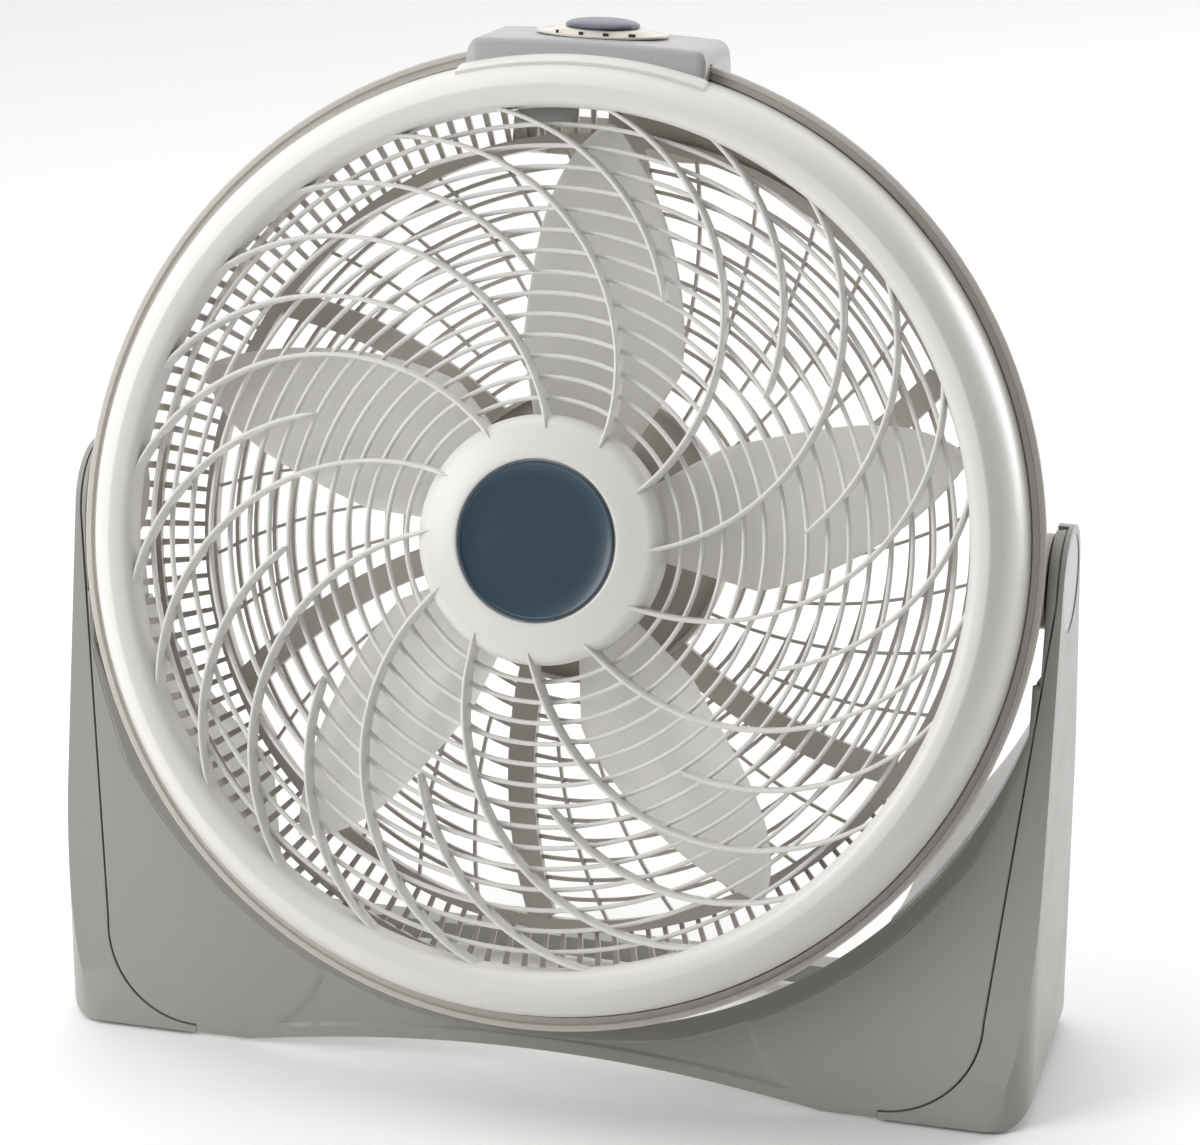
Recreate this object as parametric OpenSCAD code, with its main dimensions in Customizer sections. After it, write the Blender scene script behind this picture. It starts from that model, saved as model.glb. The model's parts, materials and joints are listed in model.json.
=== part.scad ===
// Round floor fan: a tilting head in a U-shaped stand.
// A control box with a rotary speed knob sits on top of the head.
// Frame: origin on the floor midway between the two tilt pivots, +Z up, the air leaves towards -Y, mm.
// Head frame: origin on the tilt axis, local z along the fan axis to the front, local y up the head.

/* [Overall] */
// Width over the outside of the stand
stand_w = 560; // [480:1:640]
// Height of the tilt axis over the floor
pivot_z = 293.5; // [280:0.5:310]
// Backward tilt of the head as drawn
head_tilt = 18; // [0:0.5:60]
// Which node to draw

/* [Head] */
// Outside radius of the housing flange
flange_r = 270.5; // [268:0.1:270.8]
// Front edge of the flange ahead of the tilt axis
flange_d = 39.5; // [38:0.1:41]
// Outside radius of the housing drum
drum_r = 262; // [255:0.5:264]
// Rear face of the housing behind the tilt axis
rear_d = 42; // [40:0.5:60]
// Wall of the mouldings
wall = 2.6; // [2:0.1:4]
// Inside radius of the front ring
ring_in_r = 233.8; // [230:0.1:238]
// Depth of the front ring crest ahead of the tilt axis
ring_front_d = 72.5; // [68:0.5:76]

/* [Front grille] */
// Radius of the innermost wire
wire_first_r = 77; // [74:0.5:80]
// Step between the wires
wire_pitch = 11.35; // [10:0.05:12]
// Number of wires
wire_count = 14; // [10:1:16]
// Wire thickness
wire_w = 2.4; // [1.5:0.1:3]
// Radius of the circle each rib is an arc of, it passes through the fan axis
rib_arc_r = 125; // [120:1:160]
// Number of long ribs, as many short ones stand between them
rib_count = 12; // [8:1:16]
// Rib thickness
rib_w = 2.4; // [1.5:0.1:3]
// Radius where the long ribs start
rib_start_r = 60; // [58:0.5:64]
// Radius where the short ribs start
short_rib_r = 145.1; // [120:0.1:180]
// Radius of the hub cap
cap_r = 68; // [60:0.5:72]
// Radius of the badge disc
badge_r = 43.4; // [30:0.1:50]

/* [Rear grille] */
// Number of slots round the outside
slot_count = 144; // [90:6:180]
// Width of one slot
slot_w = 7.4; // [4:0.1:8]
// Number of support arms
arm_count = 6; // [3:1:8]
// Radius of the circle each arm is an arc of
arm_arc_r = 270; // [200:5:400]
// Radius of the motor plate
motor_plate_r = 84; // [70:1:90]

/* [Propeller] */
// Number of blades
blade_count = 5; // [3:1:7]
// Tip radius
blade_tip_r = 229; // [200:0.5:231]
// Hub radius
hub_r = 52; // [45:0.5:60]
// Blade thickness
blade_t = 2.2; // [1.5:0.1:4]

/* [Control box] */
// Half the width of the box
box_half_w = 67; // [50:0.5:80]
// Slope of the top, down to the front
box_slope = 11; // [5:1:20]
// Knob radius
knob_r = 20.5; // [15:0.5:25]

/* [Stand] */
// Front edge of the base ahead of the tilt axis
base_front = 86.5; // [80:0.5:100]
// Rear edge of the base behind the tilt axis
base_rear = 73.5; // [60:0.5:90]
// Radius of the rounded arm tops
arm_top_r = 32; // [30:0.5:40]
// Inside width of the fork at the pivots
fork_w = 542.6; // [542.2:0.1:548]
// Wall of the stand mouldings
stand_wall = 3; // [2:0.1:4]
// Width of the seams between the stand mouldings
seam_w = 0.8; // [0.4:0.1:2]

/* [Hidden] */
$fn = 96;
foot_h = 2;
half_w = stand_w / 2;
fork_x = fork_w / 2;
// Pivot hardware
boss_r = 26;
boss_x = 269.2;
washer_r = 22;
bolt_r = 5;
bolt_gap = 0.05;
recess_r = 27;
recess_depth = 3.4;
cap_t = 1.6;
// Motor parts, along the fan axis
shaft_r = 4;
bearing_r = 9;
bearing_len = 8;
stator_r = 41;
rotor_r = 22;
air_gap = 0.5;
end_cap_r = 42;
plate_front = -39;
end_cap_front = -20;
front_cap_rear = 2;
front_cap_front = 14;
hub_front = 36;
// Control plate centre on the sloping top of the box
box_front_d = 50;
box_edge_h = 270.2;
plate_d = 16;
plate_h = box_edge_h + (box_front_d - plate_d) * tan(box_slope);
plate_t = 1.5;
plate_half_w = 38.5;
plate_half_d = 24;
pedestal_r = 19;
pedestal_h = 4.2;
// Floor of the room inside the box, above the drum
box_floor_r = 263.8;
// Well under the box, and the cord gland in its rear wall
well_x0 = -41;
well_w = 32;
well_h0 = 225;
well_d0 = 18.5;
well_depth = 12;
gland_x = -40;
gland_h = 272;
gland_bore = 3;
// Bow handle: how far it stands out, and the finger gap inside it
handle_out = 34;
handle_gap = 24;

// ---------- placing ----------

// Head frame to world frame
module in_head() {
    translate([0, 0, pivot_z]) rotate([90 - head_tilt, 0, 0]) children();
}

// Control plate frame: origin on the box top under the knob, z along the knob axis
module in_plate() {
    in_head() translate([0, plate_h, plate_d]) rotate([-90 + box_slope, 0, 0]) children();
}

// ---------- small helpers ----------

// Points of an ellipse arc in a revolve profile
function arc_pts(c, a, b, from, to, step) =
    [for (t = [from:step:to]) [c[0] + a * cos(t), c[1] + b * sin(t)]];

// Half the centre angle at which a circle through the axis reaches radius r
function reach(r, arc_r) = acos(r / (2 * arc_r));

// A flat bar that follows a circle through the axis, from radius r0 (at angle 0) out to r1
module arc_bar(r0, r1, arc_r, w, d0, d1) {
    a0 = reach(r0, arc_r);
    a1 = reach(r1, arc_r);
    rotate(a0) translate([arc_r, 0, 0]) rotate(-2 * a0)
        rotate_extrude(angle = 2 * (a0 - a1)) translate([arc_r - w / 2, d0]) square([w, d1 - d0]);
}

// A plain ring of rectangular section about the fan axis
module band(r0, r1, d0, d1) {
    rotate_extrude() translate([r0, d0]) square([r1 - r0, d1 - d0]);
}

// A cylinder lying along x between two x values
module rod_x(r, x0, x1) {
    translate([x0, 0, 0]) rotate([0, 90, 0]) cylinder(r = r, h = x1 - x0);
}

// ---------- front grille ----------

ring_side = [238, 34];
ring_side_a = 24.5;
ring_side_end = 77;
ring_side_b = (ring_front_d - ring_side[1]) / sin(ring_side_end);
ring_rear_r = ring_side[0] + ring_side_a;
ring_outer_pts = arc_pts(ring_side, ring_side_a, ring_side_b, 0, ring_side_end, 7);
ring_inner_pts = arc_pts(ring_side, ring_side_a - wall, ring_side_b - wall, 0, ring_side_end, 7);

module ring_shell() {
    rotate_extrude(convexity = 6) polygon(concat(
        ring_outer_pts,
        [[ring_in_r + 4.6, 71.6], [ring_in_r + 1.4, 69.4], [ring_in_r, 66.5]],
        [[ring_in_r, 50], [ring_in_r + wall, 50]],
        [[ring_in_r + wall, 65.8], [ring_in_r + 4.4, 68.1]],
        [for (i = [len(ring_inner_pts) - 1:-1:0]) ring_inner_pts[i]]
    ));
}

// Hub cap: a shallow cup with a rounded shoulder and a recess for the badge
module hub_cap() {
    recess = badge_r + 0.3;
    shoulder = arc_pts([cap_r - 9, 63.5], 9, 9, 0, 90, 15);
    rotate_extrude(convexity = 6) polygon(concat(
        [[0, 71], [cap_r - 11, 70], [cap_r - wall, 62], [cap_r - wall, 50], [cap_r, 50]],
        shoulder,
        [[badge_r + 6, 74.6], [recess + 0.8, 75.2], [recess, 74.8], [recess, 73.4], [0, 73.4]]
    ));
}

// Space the ribs may fill: high at the hub cap, lower at the ring
module rib_envelope() {
    rotate_extrude() polygon([
        [58, 55], [58, 73.6], [cap_r - 4, 73.4], [cap_r + 4, 70.6], [110, 68.4],
        [ring_in_r + 1.6, 66], [ring_in_r + 1.6, 53], [cap_r, 55.5]
    ]);
}

// All the spiral ribs, still taller than their envelope
module ribs() {
    pitch = 360 / rib_count;
    lag = reach(rib_start_r, rib_arc_r) - reach(short_rib_r, rib_arc_r);
    for (i = [0:rib_count - 1]) {
        rotate(i * pitch)
            arc_bar(rib_start_r, ring_in_r + 6, rib_arc_r, rib_w, 50, 80);
        rotate((i + 0.5) * pitch + lag)
            arc_bar(short_rib_r, ring_in_r + 6, rib_arc_r, rib_w, 50, 80);
    }
}

module front_grille() {
    color("WhiteSmoke") in_head() {
        ring_shell();
        hub_cap();
        intersection() {
            rib_envelope();
            ribs();
        }
        for (k = [0:wire_count - 1]) {
            r = wire_first_r + k * wire_pitch;
            d = 57.6 - 0.25 * k;
            band(r - wire_w / 2, r + wire_w / 2, d, d + 3);
        }
        // snap tabs that hold the ring in the housing
        for (a = [30:60:330]) rotate(a) translate([ring_rear_r - 7, -5, 34]) cube([6, 10, 3]);
    }
}

module badge() {
    color("DarkSlateGray") in_head() rotate_extrude() polygon([
        [0, 73.4], [badge_r, 73.4], [badge_r, 75.4], [badge_r - 0.6, 75.9], [badge_r - 1.6, 75.9],
        [badge_r - 2.2, 75.2], [0, 75.2]
    ]);
}

// ---------- rear housing ----------

corner_c = [drum_r - 16, 16 - rear_d];
corner_outer = arc_pts(corner_c, 16, 16, -90, 0, 15);
corner_inner = arc_pts(corner_c, 16 - wall, 16 - wall, -90, 0, 15);
band_in_r = 218.5;
band_out_r = 225.5;
nest_r = ring_rear_r + 0.6;

// Drum, flange and the nest the front ring sits in
module housing_shell() {
    rotate_extrude(convexity = 8) polygon(concat(
        [[nest_r, 34], [nest_r, flange_d - 2], [flange_r - 4, flange_d - 2]],
        [[flange_r - 3.2, flange_d], [flange_r - 0.9, flange_d]],
        [[flange_r, flange_d - 0.9], [flange_r, flange_d - 4.5],
         [nest_r + wall, flange_d - 4.5], [nest_r + wall, 31.4], [drum_r, 30]],
        [for (i = [len(corner_outer) - 1:-1:0]) corner_outer[i]],
        [[band_in_r + 2, -rear_d], [band_in_r + 2, wall - rear_d]],
        corner_inner,
        [[drum_r - wall, 31.4], [drum_r - 6, 31.4], [drum_r - 6, 34]]
    ));
}

// Slots run over the corner from the flat rear on to the side of the drum.
// The stretch beside the switch well stays plain.
plain_mid = 72;
plain_half = 18;
module slots() {
    for (i = [0:slot_count - 1]) {
        a = i * 360 / slot_count;
        if (abs(a - plain_mid) > plain_half) rotate(a)
            translate([band_out_r - 3, -slot_w / 2, -rear_d - 5]) cube([60, slot_w, rear_d - 1]);
    }
}

module rear_grille() {
    band(band_in_r, band_out_r, -rear_d, 8 - rear_d);
    band(252.4, 255.6, 3 - rear_d, 7.6 - rear_d);
    for (k = [0:10]) {
        r = 207.5 - k * 11.2;
        band(r - 1.1, r + 1.1, -rear_d, 3 - rear_d);
    }
    band(0, motor_plate_r, -rear_d, plate_front);
    band(motor_plate_r - wall, motor_plate_r, plate_front - 1, plate_front + 8);
    for (i = [0:arm_count - 1]) rotate(13 + i * 360 / arm_count) {
        arc_bar(motor_plate_r - 1.5, band_in_r + 1.2, arm_arc_r, 15, -rear_d, 7.2 - rear_d);
        // thin bars between the arms, every second one short
        for (j = [1:5]) {
            full = j % 2 == 0;
            rotate(j * 10 + (full ? 0 : 3.6)) arc_bar(
                full ? motor_plate_r - 1 : 118, band_in_r + 2, arm_arc_r,
                1.8, 1.4 - rear_d, 4.4 - rear_d
            );
        }
    }
}

module rear_housing() {
    color("Gray") in_head() difference() {
        union() {
            difference() {
                housing_shell();
                slots();
            }
            rear_grille();
            for (s = [-1, 1])
                rod_x(boss_r, s > 0 ? drum_r - 5 : -boss_x, s > 0 ? boss_x : 5 - drum_r);
        }
        translate([well_x0 - 0.2, 240, well_d0 - 0.2]) cube([well_w + 0.4, 40, well_depth + 0.4]);
        for (s = [-1, 1]) rod_x(bolt_r, s > 0 ? 255 : -290, s > 0 ? 290 : -255);
        translate([0, 0, -rear_d - 1]) cylinder(r = 10.5, h = 5);
        for (a = [90:120:330]) rotate(a) translate([30, 0, -rear_d - 1]) cylinder(r = 2.1, h = 5);
    }
}

// A bow handle on the rear of the housing near the top
module carry_handle() {
    color("Gray") in_head() difference() {
        translate([-62, 213, -rear_d - handle_out]) cube([124, 22, handle_out]);
        translate([-48, 212, -rear_d - handle_gap]) cube([96, 24, handle_gap + 1]);
    }
}

// ---------- motor ----------

module motor_rear_cap() {
    color("Silver") in_head() difference() {
        union() {
            difference() {
                translate([0, 0, plate_front]) cylinder(r = end_cap_r, h = end_cap_front - plate_front);
                translate([0, 0, plate_front + 5]) cylinder(r = end_cap_r - 2, h = 60);
            }
            translate([0, 0, plate_front]) cylinder(r = bearing_r + 4, h = bearing_len + 1);
        }
        translate([0, 0, plate_front - 1]) cylinder(r = bearing_r, h = 20);
        for (a = [90:120:330]) rotate(a) translate([30, 0, plate_front - 1]) cylinder(r = 2, h = 4);
    }
}

module motor_front_cap() {
    color("Silver") in_head() difference() {
        translate([0, 0, front_cap_rear])
            cylinder(r1 = end_cap_r, r2 = 34, h = front_cap_front - front_cap_rear);
        translate([0, 0, front_cap_rear - 1]) cylinder(r = 30, h = 5);
        cylinder(r = bearing_r, h = 40);
    }
}

module motor_stator() {
    color("DimGray") in_head() difference() {
        translate([0, 0, end_cap_front]) cylinder(r = stator_r, h = front_cap_rear - end_cap_front);
        translate([0, 0, end_cap_front - 1]) cylinder(r = rotor_r + air_gap, h = 40);
        for (a = [0:30:330]) rotate(a) translate([28, 0, end_cap_front - 1]) cylinder(r = 3, h = 40);
    }
}

module bearing(d0) {
    color("Goldenrod") in_head() difference() {
        translate([0, 0, d0]) cylinder(r = bearing_r, h = bearing_len);
        translate([0, 0, d0 - 1]) cylinder(r = shaft_r + 0.03, h = bearing_len + 2);
    }
}

module bearing_rear() { bearing(plate_front + 0.5); }

module bearing_front() { bearing(front_cap_front - bearing_len); }

module motor_screw(a) {
    color("Silver") in_head() rotate(a) translate([30, 0, 0]) {
        translate([0, 0, -rear_d - 2.5]) cylinder(r = 3.8, h = 2.5);
        translate([0, 0, -rear_d]) cylinder(r = 1.9, h = plate_front + rear_d + 2.5);
    }
}

module motor_screw_1() { motor_screw(90); }

module motor_screw_2() { motor_screw(210); }

module motor_screw_3() { motor_screw(330); }

module rotor_core() {
    color("DimGray") in_head() difference() {
        translate([0, 0, end_cap_front + 1])
            cylinder(r = rotor_r, h = front_cap_rear - end_cap_front - 2);
        translate([0, 0, end_cap_front]) cylinder(r = shaft_r, h = 40);
    }
}

module motor_shaft() {
    color("Silver") in_head() translate([0, 0, plate_front + 1])
        cylinder(r = shaft_r, h = 44 - plate_front);
}

// ---------- propeller ----------

// The blade edges as angles from the blade centre line, and the depth it spans, by radius
function out_frac(r) = max(0, (r - 110) / (blade_tip_r - 110));
function lead_angle(r) = r < 110 ? -27.5 : -52 * pow(1 - pow(out_frac(r), 1.8), 0.85) / r * 180 / PI;
function trail_angle(r) = r < 110 ? 16.5 : 31 * pow(1 - pow(out_frac(r), 4), 0.8) / r * 180 / PI;
function half_depth(r) = 23 * (1 - 0.85 * pow(out_frac(r), 1.5));

blade_rows = 16;
blade_cols = 10;
blade_root_r = hub_r - 3;
function blade_r(i) = blade_root_r + (blade_tip_r - 0.5 - blade_root_r) * sin(90 * i / blade_rows);
function blade_pt(r, v, side) =
    let (a = lead_angle(r) + (trail_angle(r) - lead_angle(r)) * v, w = 2 * v - 1)
    [r * cos(a), r * sin(a), 10 + half_depth(r) * w - 3 * (1 - w * w) + side * blade_t / 2];

module blade() {
    n = blade_cols + 1;
    side_pts = (blade_rows + 1) * n;
    pts = [for (s = [1, -1]) for (i = [0:blade_rows]) for (j = [0:blade_cols])
        blade_pt(blade_r(i), j / blade_cols, s)];
    top = [for (i = [0:blade_rows - 1]) for (j = [0:blade_cols - 1]) for (h = [0, 1])
        let (k = i * n + j) h == 0 ? [k, k + n, k + n + 1] : [k, k + n + 1, k + 1]];
    bottom = [for (f = top) [f[2] + side_pts, f[1] + side_pts, f[0] + side_pts]];
    lead = [for (i = [0:blade_rows - 1]) for (h = [0, 1]) let (k = i * n)
        h == 0 ? [k, k + side_pts, k + n + side_pts] : [k, k + n + side_pts, k + n]];
    trail = [for (i = [0:blade_rows - 1]) for (h = [0, 1]) let (k = i * n + blade_cols)
        h == 0 ? [k, k + n + side_pts, k + side_pts] : [k, k + n, k + n + side_pts]];
    root = [for (j = [0:blade_cols - 1]) for (h = [0, 1])
        h == 0 ? [j, j + 1 + side_pts, j + side_pts] : [j, j + 1, j + 1 + side_pts]];
    tip = [for (j = [0:blade_cols - 1]) for (h = [0, 1]) let (k = blade_rows * n + j)
        h == 0 ? [k, k + side_pts, k + 1 + side_pts] : [k, k + 1 + side_pts, k + 1]];
    faces = concat(top, bottom, lead, trail, root, tip);
    polyhedron(points = pts, faces = [for (f = faces) [f[2], f[1], f[0]]], convexity = 6);
}

module propeller() {
    color("Ivory") in_head() difference() {
        union() {
            rotate_extrude(convexity = 4) polygon([
                [0, hub_front - 3], [hub_r - 6, hub_front - 3],
                [hub_r - wall, hub_front - 6], [hub_r - wall, -14],
                [hub_r, -14], [hub_r, hub_front - 4.5], [hub_r - 4.5, hub_front], [0, hub_front]
            ]);
            translate([0, 0, 18]) cylinder(r = 9.5, h = hub_front - 19);
            for (i = [0:blade_count - 1]) rotate(88 + i * 360 / blade_count) blade();
        }
        translate([0, 0, 10]) cylinder(r = shaft_r, h = 40);
    }
}

module propeller_nut() {
    color("DarkSlateGray") in_head() difference() {
        translate([0, 0, hub_front]) cylinder(r1 = 11, r2 = 8, h = 9);
        cylinder(r = shaft_r, h = 60);
    }
}

// ---------- control box ----------

box_rear_d = -8;
box_wall = 2.2;
// Height of the sloping top at depth d, t under the surface
function top_h(d, t) = box_edge_h + (box_front_d - d) * tan(box_slope) - t / cos(box_slope);

// Side view of the box in (height, depth), drawn in by t
module box_side(t) {
    polygon([
        [230, box_front_d + 2.5 - t], [top_h(box_front_d, t) + t / 4, box_front_d - t],
        [top_h(box_rear_d, t), box_rear_d + t / 2], [top_h(box_rear_d, t) - 4, box_rear_d - 6 + t],
        [230, -24 + t]
    ]);
}

module box_block(t) {
    w = box_half_w - t;
    translate([-w, 0, 0]) rotate([90, 0, 90]) linear_extrude(2 * w) box_side(t);
}

// What the box stands on: the ring side, flange and drum, with assembly clearance
module box_seat() {
    rotate_extrude() polygon(concat(
        [[0, -40], [drum_r + 0.2, -40], [drum_r + 0.2, 29.8], [nest_r + wall + 0.2, 31.1],
         [nest_r + wall + 0.2, flange_d - 4.9], [flange_r + 0.4, flange_d - 4.9],
         [flange_r + 0.4, flange_d + 0.4], [ring_rear_r + 0.6, flange_d + 0.4]],
        arc_pts(ring_side, ring_side_a + 0.5, ring_side_b + 0.5, 14, 84, 7),
        [[0, 80]]
    ));
}

// Room inside the box: above a thin floor, and behind the solid nose over the flange
module box_room() {
    difference() {
        box_block(box_wall);
        rotate_extrude() polygon([
            [0, -40], [box_floor_r, -40], [box_floor_r, 28.6], [273.5, 28.6], [273.5, 60], [0, 60]
        ]);
    }
}

// Well that reaches down through the drum for the switch leads
module switch_well(t) {
    translate([well_x0 + t, well_h0 + t, well_d0 + t]) cube([well_w - 2 * t, 45, well_depth - 2 * t]);
}

module control_box() {
    top = box_floor_r + 8;
    color("Gainsboro") in_head() difference() {
        union() {
            difference() {
                box_block(0);
                box_room();
                box_seat();
            }
            intersection() {
                switch_well(0);
                cylinder(r = box_floor_r - 0.4, h = 60);
            }
        }
        intersection() {
            switch_well(1.8);
            cylinder(r = top, h = 60);
        }
        translate([0, plate_h, plate_d]) rotate([box_slope - 90, 0, 0])
            translate([0, 0, -8]) cylinder(r = 6, h = 20);
        translate([gland_x, gland_h, -30]) cylinder(r = 4.4, h = 25);
    }
}

// Oval plate with a round pedestal that carries the knob
module dial_plate() {
    color("Ivory") in_plate() difference() {
        union() {
            scale([plate_half_w / plate_half_d, 1, 1]) cylinder(r = plate_half_d, h = plate_t);
            cylinder(r = pedestal_r, h = pedestal_h);
        }
        translate([0, 0, -1]) cylinder(r = 6, h = pedestal_h + 2);
    }
}

module speed_knob() {
    rim_h = pedestal_h + 1.5;
    dome_h = 3;
    dome = arc_pts([0, rim_h], knob_r - 0.7, dome_h, 0, 90, 10);
    color("DarkSlateGray") in_plate() difference() {
        rotate_extrude(convexity = 4) polygon(concat(
            [[0, pedestal_h + 0.3], [knob_r, pedestal_h + 0.3], [knob_r, rim_h - 0.4]], dome));
        cylinder(r = 3, h = shaft_top);
        translate([-0.6, 9, rim_h + 1.6]) cube([1.2, 8, 4]);
    }
}

shaft_top = pedestal_h + 2.4;

module switch_shaft() {
    color("Silver") in_plate() translate([0, 0, -11]) cylinder(r = 3, h = shaft_top + 11);
}

module rotary_switch() {
    color("Black") in_plate() difference() {
        translate([-14, -9, -box_wall - 8.8]) cube([28, 18, 8.8]);
        translate([0, 0, -20]) cylinder(r = 3.05, h = 30);
    }
}

module capacitor() {
    color("DarkSlateGray") in_head() translate([24, 264.5, 3]) cube([24, 6, 23]);
}

module cord_gland() {
    color("Black") in_head() translate([gland_x, gland_h, 0]) difference() {
        union() {
            translate([0, 0, -27.8]) cylinder(r = 6.3, h = 10);
            translate([0, 0, -18]) cylinder(r = 4.4, h = 8);
        }
        translate([0, 0, -40]) cylinder(r = gland_bore, h = 60);
    }
}

// ---------- pivots ----------

module pivot_bolt(s) {
    head_x = half_w - recess_depth;
    color("Silver") translate([0, 0, pivot_z]) mirror([s < 0 ? 1 : 0, 0, 0]) {
        rod_x(bolt_r, 257.5, head_x + 0.3);
        rod_x(11, head_x + 0.3, head_x + 1.5);
    }
}

module pivot_bolt_left() { pivot_bolt(-1); }

module pivot_bolt_right() { pivot_bolt(1); }

module friction_washer(s) {
    color("DimGray") translate([0, 0, pivot_z]) mirror([s < 0 ? 1 : 0, 0, 0]) difference() {
        rod_x(washer_r, boss_x, fork_x - 0.3);
        rod_x(bolt_r + bolt_gap, boss_x - 1, half_w);
    }
}

module friction_washer_left() { friction_washer(-1); }

module friction_washer_right() { friction_washer(1); }

module pivot_cap(s) {
    color("SlateGray") translate([0, 0, pivot_z]) mirror([s < 0 ? 1 : 0, 0, 0])
        rod_x(recess_r, half_w - cap_t, half_w - 0.4);
}

module pivot_cap_left() { pivot_cap(-1); }

module pivot_cap_right() { pivot_cap(1); }

// ---------- stand ----------

sill_h = foot_h + 6;
arch_r = 930;
arch_top = 17;
swing_r = 275;
end_wall_x = 198;
corner_r = 26;
toe_r = 14;
leg_c = [198, 62];
leg_r = 55;
seam_top = [276.5, 293.5];
field_depth = 1.3;

// Where a line from p all but touches a circle of radius r about c, on side s, and ends just inside it
function touch(p, c, r, s) =
    let (v = p - c, q = r - 0.03, a = atan2(v[1], v[0]) + s * acos(q / norm(v)))
    c + q * [cos(a), sin(a)];

// Side view of the stand in (y, z) without its round top, drawn in by t
module stand_side(t) {
    c = [0, pivot_z];
    r = arm_top_r - t;
    front = [t - base_front, sill_h - t / 2];
    rear = [base_rear - t, sill_h - t / 2];
    polygon([
        [front[0], foot_h], front, touch(front, c, r, -1), c,
        touch(rear, c, r, 1), rear, [rear[0], foot_h]
    ]);
}

module stand_block(t) {
    x = half_w - t;
    translate([-x, 0, 0]) rotate([90, 0, 90]) linear_extrude(2 * x) stand_side(t);
    translate([0, 0, pivot_z]) rod_x(arm_top_r - t, -x, x);
}

// Front view: outside of the stand, drawn in by t
module stand_front(t) {
    x = half_w - t;
    r = toe_r - t;
    toe_c = foot_h + toe_r;
    difference() {
        union() {
            translate([-x, toe_c]) square([2 * x, pivot_z + arm_top_r]);
            translate([toe_r - half_w, foot_h]) square([stand_w - 2 * toe_r, 40]);
            for (s = [-1, 1]) translate([s * (half_w - toe_r), toe_c]) circle(r = r);
        }
        translate([0, arch_top - arch_r]) circle(r = arch_r, $fn = 360);
    }
}

// Front view: the opening the head swings through, drawn out by g
module fork_opening(g) {
    throat = 267 + g;
    intersection() {
        translate([0, 311]) circle(r = 281.5 + g, $fn = 360);
        translate([-throat, 0]) square([2 * throat, 600]);
    }
    translate([-throat, 216]) square([2 * throat, 600]);
    translate([-fork_x - g, 250 - g]) square([fork_w + 2 * g, 600]);
}

// Front view: the centre moulding, its outline drawn out by g
module apron_outline(g) {
    r = leg_r + g;
    side = [
        [leg_c[0], leg_c[1] - r + 1], leg_c, [leg_c[0] + r - 0.03, leg_c[1]],
        [seam_top[0] + g, seam_top[1]], [seam_top[0] + g, 400]
    ];
    polygon(concat(side, [for (i = [len(side) - 1:-1:0]) [-side[i][0], side[i][1]]]));
    for (s = [-1, 1]) translate([s * leg_c[0], leg_c[1]]) circle(r = r);
    translate([-leg_c[0], -10]) square([2 * leg_c[0], 40]);
}

// Front view: the sunken field between the two leg panels
module apron_field() {
    difference() {
        translate([-178, 0]) square([356, 110]);
        for (s = [-1, 1]) {
            translate([s > 0 ? 123 : -323, leg_c[1]]) square([200, 100]);
            translate([s * 178, leg_c[1]]) circle(r = leg_r);
        }
        translate([0, arch_top - arch_r]) circle(r = arch_r + 8, $fn = 360);
    }
}

module extrude_front() {
    translate([0, 150, 0]) rotate([90, 0, 0]) linear_extrude(300) children();
}

// Upright block with rounded plan corners, drawn in by t
module stand_plan(t) {
    x = half_w - corner_r;
    depth = base_front + base_rear;
    translate([0, 0, -1]) linear_extrude(400) {
        translate([t - half_w, corner_r - base_front]) square([stand_w - 2 * t, depth - 2 * corner_r]);
        translate([-x, t - base_front]) square([2 * x, depth - 2 * t]);
        for (s = [-1, 1]) for (y = [corner_r - base_front, base_rear - corner_r])
            translate([s * x, y]) circle(r = corner_r - t);
    }
}

// Space the head sweeps through, drawn out by g
module swing_space(g) {
    intersection() {
        translate([0, 0, pivot_z]) sphere(r = swing_r + g, $fn = 180);
        translate([-fork_x - g, -300, -10]) cube([fork_w + 2 * g, 600, 700]);
    }
}

// Outer form of the stand, every wall face moved in by t
module stand_body(t) {
    difference() {
        intersection() {
            stand_block(t);
            stand_plan(t);
            extrude_front() stand_front(t);
        }
        extrude_front() fork_opening(t);
        swing_space(t);
    }
}

// The front skin of the stand down to depth t, and t0 proud of it
module front_skin(t0, t, y_end) {
    difference() {
        stand_block(-t0);
        stand_block(t);
        translate([-400, y_end, -10]) cube([800, 200, 500]);
    }
}

module stand_apron() {
    color("Silver") difference() {
        intersection() {
            front_skin(0, stand_wall, 0);
            extrude_front() intersection() {
                stand_front(0);
                apron_outline(0);
            }
        }
        extrude_front() fork_opening(0);
        swing_space(0);
        intersection() {
            front_skin(2, field_depth, 0);
            extrude_front() apron_field();
        }
    }
}

// Everything beyond x on the side s
module beyond(x, s) {
    translate([s > 0 ? x : -400, -200, -10]) cube([400 - x, 400, 500]);
}

module side_frame(s) {
    color("Silver") difference() {
        union() {
            difference() {
                intersection() {
                    stand_body(0);
                    beyond(end_wall_x, s);
                }
                intersection() {
                    stand_body(stand_wall);
                    beyond(end_wall_x + stand_wall, s);
                }
            }
            translate([0, 0, pivot_z]) mirror([s < 0 ? 1 : 0, 0, 0])
                rod_x(recess_r + 3, fork_x, half_w);
            intersection() {
                stand_body(0);
                for (y = [-base_front, base_rear - 26])
                    translate([s > 0 ? 204 : -240, y, foot_h]) cube([36, 26, 4]);
            }
        }
        intersection() {
            front_skin(5, stand_wall, seam_w);
            extrude_front() apron_outline(seam_w);
        }
        translate([0, 0, pivot_z]) mirror([s < 0 ? 1 : 0, 0, 0]) {
            rod_x(bolt_r + bolt_gap, 200, 300);
            rod_x(recess_r, half_w - recess_depth, 300);
        }
    }
}

module side_frame_left() { side_frame(-1); }

module side_frame_right() { side_frame(1); }

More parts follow.
